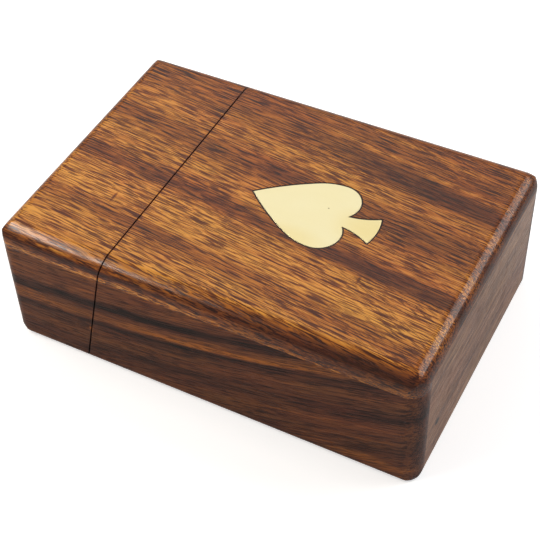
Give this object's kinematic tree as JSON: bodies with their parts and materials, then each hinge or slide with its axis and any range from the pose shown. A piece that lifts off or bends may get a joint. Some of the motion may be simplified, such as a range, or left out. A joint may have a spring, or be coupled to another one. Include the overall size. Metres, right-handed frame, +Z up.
{
  "type": "playing card box",
  "caption": "Rounded hardwood box for a deck of cards: a leaning cut parts the case from a pull whose tray slides out lengthwise; brass spade inlaid in the top.",
  "frame": {"origin": "middle of the underside of the closed box", "axes": "+X along the length towards the case's end, the pull at -X; +Y across the width; +Z up through the inlaid top"},
  "size_m": [0.118, 0.081, 0.0396],
  "materials": {
    "top_board": "golden brown rosewood, flat sawn, oiled and buffed to a soft shine",
    "side_board": "dark purple brown rosewood with near-black streaks, soft shine",
    "end_board": "dull purple brown rosewood, grain across the box, soft shine",
    "tray_board": "thin sanded rosewood, unpolished",
    "spade_brass": "pale polished brass plate",
    "filler": "dark wood filler, sanded flush"
  },
  "bodies": {
    "case": {"case_top": "top_board", "case_bottom": "side_board", "case_side_front": "side_board", "case_side_back": "side_board", "case_end": "end_board", "spade_inlay": "spade_brass", "inlay_filler": "filler"},
    "drawer": {"pull_top": "top_board", "pull_bottom": "side_board", "pull_side_front": "side_board", "pull_side_back": "side_board", "pull_end": "end_board", "tray_floor": "tray_board", "tray_side_front": "tray_board", "tray_side_back": "tray_board", "tray_end_pull": "tray_board", "tray_end_deep": "tray_board"}
  },
  "joints": [
    {"name": "drawer_slide", "type": "slide", "parent": "case", "child": "drawer", "axis": [-1, 0, 0], "range_m": [0, 0.088]}
  ]
}
